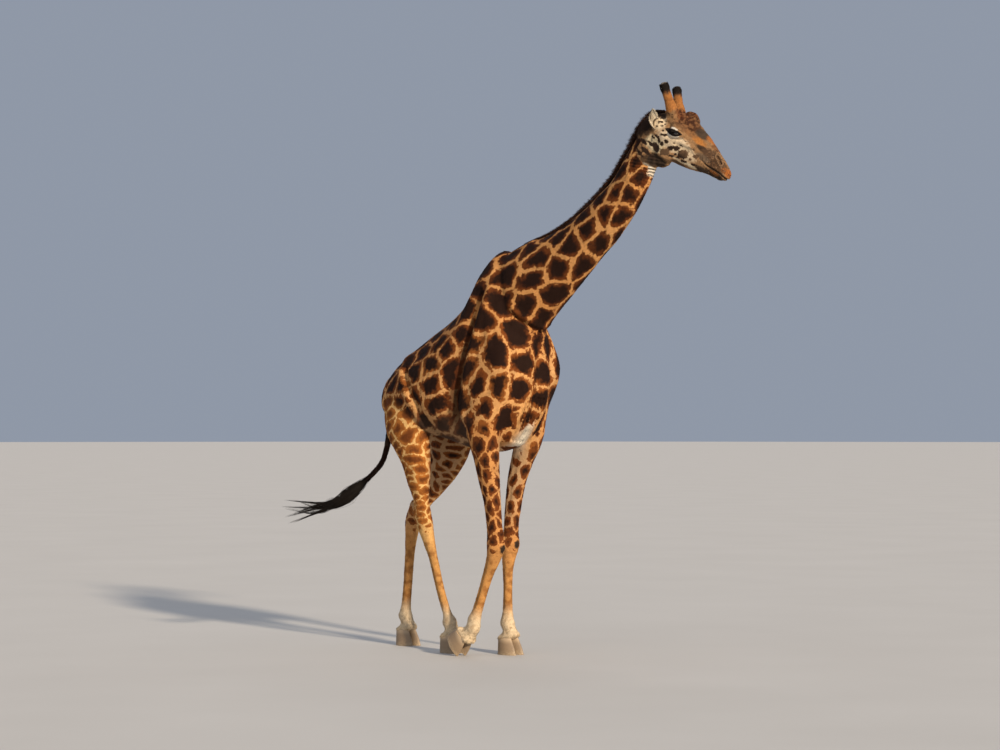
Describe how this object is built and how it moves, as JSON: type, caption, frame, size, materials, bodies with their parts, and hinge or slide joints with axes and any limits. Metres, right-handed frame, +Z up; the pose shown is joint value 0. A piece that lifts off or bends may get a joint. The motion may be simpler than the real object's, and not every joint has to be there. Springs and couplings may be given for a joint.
{
  "type": "giraffe model",
  "caption": "Still life-size bull giraffe in mid-walk, head raised and turned a little to its left, standing on its own hooves.",
  "frame": {"origin": "middle of the bounding box, on the floor that the hooves stand on", "axes": "+X the way the giraffe walks, +Y its left side, +Z up"},
  "size_m": [4.3052, 1.0002, 4.4788],
  "materials": {
    "hide": "short flat coat, dark brown jagged patches on a tawny net, cream shins and chest",
    "ear_hide": "short hair, cream inside and grey-brown outside",
    "horn_skin": "haired skin over bone, tan with black tufted tips",
    "eye": "wet, dark brown to black",
    "mane_hair": "short stiff dark red-brown hair",
    "tail_hair": "long coarse black hair",
    "hoof": "dark grey horn, dull and dusty"
  },
  "bodies": {
    "root": {"head": "hide", "neck": "hide", "trunk": "hide", "tail": "hide", "foreleg_left": "hide", "foreleg_right": "hide", "hindleg_left": "hide", "hindleg_right": "hide", "ear_left": "ear_hide", "ear_right": "ear_hide", "ossicone_left": "horn_skin", "ossicone_right": "horn_skin", "eye_left": "eye", "eye_right": "eye", "mane": "mane_hair", "tail_tassel": "tail_hair", "hoof_fore_left_left": "hoof", "hoof_fore_left_right": "hoof", "hoof_fore_right_left": "hoof", "hoof_fore_right_right": "hoof", "hoof_hind_left_left": "hoof", "hoof_hind_left_right": "hoof", "hoof_hind_right_left": "hoof", "hoof_hind_right_right": "hoof"}
  },
  "joints": []
}
